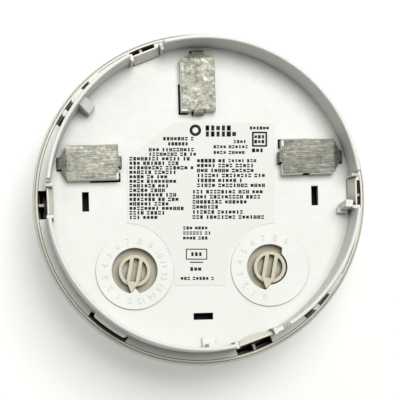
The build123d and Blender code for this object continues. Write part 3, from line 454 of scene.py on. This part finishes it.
# Filler text as left end, first line's place up the label, line pitch, line lengths, mark height and stroke
# weight. All but the weight are in millimetres.
FILLER_TEXT = (
    (1.4, 21.5, 1.85, (10.4, 10.6), 1.62, BOLD),
    (16.6, 18.8, 1.5, (3.6, 3.6), 1.1, BOLD),
    (15.2, 21.5, 0.0, (6.4,), 1.0, BOLD),
    (15.9, 14.6, 0.0, (5.1,), 1.2, BOLD),
    (-11.6, 18.2, 0.0, (9.8,), 1.1, PLAIN),
    (-10.1, 16.6, 0.0, (6.9,), 1.05, BOLD),
    (-16.0, 14.8, 1.4, (15.8, 15.0), 1.1, PLAIN),
    (10.2, 17.3, 0.0, (4.2,), 1.0, PLAIN),
    (4.0, 15.7, 1.75, (11.0, 10.6), 1.0, PLAIN),
    (-22.0, 12.0, 1.395,
     (20.0, 16.0, 20.5, 15.5, 12.5, 14.8, 13.5, 11.2, 15.8, 16.0, 13.4, 17.6, 11.8, 9.5), 1.14, PLAIN),
    (-1.1, 11.4, 0.0, (9.0,), 1.15, BOLD),
    (8.6, 11.4, 0.0, (9.0,), 1.0, PLAIN),
    (-1.1, 9.9, 1.53, (18.8, 18.8, 22.0, 14.5, 22.6), 1.14, PLAIN),
    (-2.5, 1.8, 1.565, (22.8, 23.0, 17.4, 8.9, 16.0, 22.4), 1.14, PLAIN),
    (-5.4, -9.4, 1.56, (9.2, 9.2, 7.8), 1.0, PLAIN),
    (-3.0, -17.5, 0.0, (3.8,), 1.2, BOLD),
    (-3.2, -22.1, 0.0, (4.6,), 1.2, BOLD),
    (-6.1, -25.0, 0.0, (11.4,), 1.0, PLAIN),
)


def add_stroke(bm, x, y, width, height):
    add_prism(bm, rounded_box_outline(x, y, width, height, STROKE_CORNER), PRINT_LOW, PRINT_HIGH)


def add_frame(bm, x, y, width, height, line):
    """Rectangular outline of four strokes."""
    for side in (-1, 1):
        add_stroke(bm, x + side * (width - line) / 2, y, line, height)
        add_stroke(bm, x, y + side * (height - line) / 2, width - 2 * line, line)


def add_filler_mark(bm, kind, x, y, width, height, line):
    """One filler mark that stands for a letter and is none: a post, a slab, two bars or two posts."""
    if kind == "post":
        add_stroke(bm, x, y, line * 1.2, height)
    elif kind == "slab":
        add_stroke(bm, x, y, width, height * 0.8)
    elif kind == "bars":
        for side in (-1, 1):
            add_stroke(bm, x, y + side * (height - line) / 2, width, line)
    else:
        for side in (-1, 1):
            add_stroke(bm, x + side * (width - line) / 2, y, line, height)


def add_filler_line(bm, rng, x0, length, y, height, weight):
    """One line of filler words. Its left end, length, place up the label and height are in millimetres."""
    height *= MM
    line = weight * height
    pitch = height * 1.02
    x = x0 * MM + pitch / 2
    end = (x0 + length) * MM
    letters = rng.randint(3, 9)
    while x + pitch / 2 < end:
        if letters:
            width = pitch * rng.choice((0.70, 0.76, 0.82))
            kind = rng.choice(("post", "slab", "bars", "posts", "posts", "bars", "slab"))
            add_filler_mark(bm, kind, x, y * MM, width, height, line)
            letters -= 1
            x += pitch
        else:
            letters = rng.randint(2, 9)
            x += pitch * 0.62


def build_label_print(bm):
    """Filler text in the label's layout: headings, two columns and a centred tail, then four plain marks."""
    rng = random.Random(7)
    for x0, first_y, pitch, lengths, height, weight in FILLER_TEXT:
        for n, length in enumerate(lengths):
            add_filler_line(bm, rng, x0, length, first_y - n * pitch, height, weight)
    add_ring(bm, -1.5 * MM, 20.8 * MM, 1.8 * MM, 0.9 * MM, PRINT_LOW, PRINT_HIGH)
    add_frame(bm, 18.35 * MM, 18.05 * MM, 4.7 * MM, 4.7 * MM, 0.55 * MM)
    add_frame(bm, -1.1 * MM, -17.5 * MM, 6.6 * MM, 3.4 * MM, 0.32 * MM)
    add_stroke(bm, -1.1 * MM, -20.0 * MM, 4.2 * MM, 0.35 * MM)
    bmesh.ops.rotate(bm, verts=bm.verts, cent=(0, 0, 0), matrix=Matrix.Rotation(LABEL_TURN, 3, "Z"))


# ---------------------------------------------------------------- dial numbers

# How many places each dial has, then the angle of place 0 and the step to the next, in degrees.
DIAL_PLACES = {"tens": 16, "ones": 10}
FIRST_PLACE = 258.75
PLACE_STEP = 22.5

# The numbers stand on the raised disc round each dial.
DISC_TOP = -9.0 * MM
NUMBER_RADIUS = 9.2 * MM
NUMBER_SIZE = 2.7 * MM
NUMBER_DEPTH = 0.13 * MM


def number_mesh(text):
    """Mesh of a number from the built-in font, centred on the origin."""
    curve = bpy.data.curves.new("number", "FONT")
    curve.body = text
    curve.size = NUMBER_SIZE
    curve.extrude = NUMBER_DEPTH
    curve.align_x = "CENTER"
    curve.align_y = "CENTER"
    curve.resolution_u = 3
    holder = add_object("number", curve)
    bpy.context.view_layer.update()
    mesh = bpy.data.meshes.new_from_object(holder.evaluated_get(bpy.context.evaluated_depsgraph_get()))
    bpy.data.objects.remove(holder)
    bpy.data.curves.remove(curve)
    return mesh


def build_dial_numbers(bm, dial):
    """Raised numbers round a dial, clockwise from its first place, with their feet towards its middle."""
    low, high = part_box("switch_body_" + dial)
    centre = (low + high) / 2
    for n in range(DIAL_PLACES[dial]):
        angle = math.radians(FIRST_PLACE - PLACE_STEP * n)
        mesh = number_mesh(str(n))
        place = Matrix.Translation((
            centre.x + NUMBER_RADIUS * math.cos(angle),
            centre.y + NUMBER_RADIUS * math.sin(angle),
            DISC_TOP,
        ))
        mesh.transform(place @ Matrix.Rotation(angle - math.pi / 2, 4, "Z"))
        bm.from_mesh(mesh)
        bpy.data.meshes.remove(mesh)


# ---------------------------------------------------------------- insect screen

SCREEN_INSET = 0.12 * MM
SCREEN_PITCH = 0.85 * MM
WIRE = 0.13 * MM


def build_screen(bm):
    """Wire net round the labyrinth: upright wires, and hoops that stand slightly proud of them."""
    low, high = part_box("insect_screen")
    radius = high.x - SCREEN_INSET
    around = int(2 * math.pi * radius / SCREEN_PITCH)
    rows = int((high.z - low.z) / SCREEN_PITCH)
    for n in range(around):
        a = 2 * math.pi * n / around
        x, y = radius * math.cos(a), radius * math.sin(a)
        tangent = Vector((-math.sin(a), math.cos(a), 0)) * WIRE / 2
        outward = Vector((math.cos(a), math.sin(a), 0)) * WIRE / 2
        corners = [Vector((x, y, 0)) + d for d in (outward, tangent, -outward, -tangent)]
        add_prism(bm, [(c.x, c.y) for c in corners], low.z, high.z)
    for n in range(rows + 1):
        z = low.z + (high.z - low.z) * n / rows
        add_ring(bm, 0, 0, radius + WIRE * 0.7, radius - WIRE * 0.3, z - WIRE / 2, z + WIRE / 2, 96)


# ---------------------------------------------------------------- stage

FLOOR_REACH = 3.0
FLOOR_GLOW = 0.52

# Name, azimuth and elevation in degrees, distance and size in metres, and power in watts.
SOFTBOXES = (
    ("top_softbox", 66, 67, 1.25, 0.95, 18.8),
    ("left_softbox", 135, 40, 1.15, 0.50, 2.0),
)
LIGHT_COLOUR = (1.0, 1.0, 0.985)
ROOM_COLOUR = (1.0, 0.985, 0.94, 1.0)
ROOM_STRENGTH = 0.33

CAMERA_PLACE = Vector((-48.6, -55.7, 352.0)) * MM
CAMERA_ROLL = math.radians(-1.58)
CAMERA_LENS = 105.2
SENSOR_WIDTH = 36.0
LENS_SHIFT = (("shift_x", 0.380), ("shift_y", 0.455))


def build_floor():
    """Pale paper under the nose, clear from below. It sinks with the cover when that is pulled off."""
    mesh = bpy.data.meshes.new("floor")
    signs = ((-1, -1), (1, -1), (1, 1), (-1, 1))
    corners = [(x * FLOOR_REACH, y * FLOOR_REACH, COVER_BOTTOM) for x, y in signs]
    mesh.from_pydata(corners, [], [(0, 1, 2, 3)])
    floor = add_object("floor", mesh)
    s = Shader("floor_paper")
    cloud = s.noise(0.004, 2.0)
    paper = s.mix(s.span(cloud, 0.0, 0.3), (0.56, 0.56, 0.555), (0.54, 0.54, 0.535))
    s.finish(paper, 0.7, Emission_Color=paper, Emission_Strength=FLOOR_GLOW)
    choose = s.add("ShaderNodeMixShader")
    s.put(choose, 0, s.add("ShaderNodeNewGeometry").outputs["Backfacing"])
    s.put(choose, 1, s.bsdf.outputs[0])
    s.put(choose, 2, s.add("ShaderNodeBsdfTransparent").outputs[0])
    s.put(s.out, "Surface", choose.outputs[0])
    mesh.materials.append(s.material)
    cover = NODES["detector_cover"]
    targets = drive(floor, "location", "min(cover, 0.0)", "cover", "TRANSFORMS", cover, index=2)
    targets[0].transform_type = "LOC_Z"


def add_softbox(name, around, above, distance, size, power):
    """Round light that faces the origin from an azimuth and elevation in degrees."""
    a, e = math.radians(around), math.radians(above)
    place = Vector((math.cos(a) * math.cos(e), math.sin(a) * math.cos(e), math.sin(e))) * distance
    light = bpy.data.lights.new(name, "AREA")
    light.shape = "DISK"
    light.size = size
    light.energy = power
    light.color = LIGHT_COLOUR
    lamp = add_object(name, light)
    lamp.location = place
    lamp.rotation_mode = "QUATERNION"
    lamp.rotation_quaternion = (-place).to_track_quat("-Z", "Y")


def build_lights():
    """One large softbox high over the upper right, a weak low one from the upper left, and a dim room."""
    for softbox in SOFTBOXES:
        add_softbox(*softbox)
    world = bpy.data.worlds.new("studio")
    world.use_nodes = True
    background = world.node_tree.nodes["Background"]
    background.inputs["Color"].default_value = ROOM_COLOUR
    background.inputs["Strength"].default_value = ROOM_STRENGTH
    bpy.context.scene.world = world
    bpy.context.scene.view_settings.view_transform = "Standard"


def build_camera():
    """Camera square to the back, above its lower left, with its lens shifted onto the object.

    The shift only holds at this place: from anywhere else the lens looks straight ahead.
    """
    data = bpy.data.cameras.new("camera")
    data.lens = CAMERA_LENS
    data.sensor_width = SENSOR_WIDTH
    data.clip_start = 0.01
    camera = add_object("camera", data)
    camera.location = CAMERA_PLACE
    camera.rotation_euler = (0.0, 0.0, CAMERA_ROLL)
    bpy.context.scene.camera = camera
    mark = add_object("camera_mark", None)
    mark.location = CAMERA_PLACE
    for path, shift in LENS_SHIFT:
        drive(data, path, f"{shift} if away < 0.001 else 0.0", "away", "LOC_DIFF", camera, mark)


dress_cad_nodes()
mesh_piece("label_print", build_label_print, printed_ink("label_ink"), "housing")
white = NODES["rear_housing"].data.materials[0]
for dial_name in DIAL_PLACES:
    mesh_piece("dial_numbers_" + dial_name, lambda bm: build_dial_numbers(bm, dial_name), white, "housing")
net = NODES["insect_screen"].data.materials[0]
screen = mesh_piece("screen_net", build_screen, net, "chamber_lid")
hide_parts("insect_screen")
build_floor()
build_lights()
build_camera()
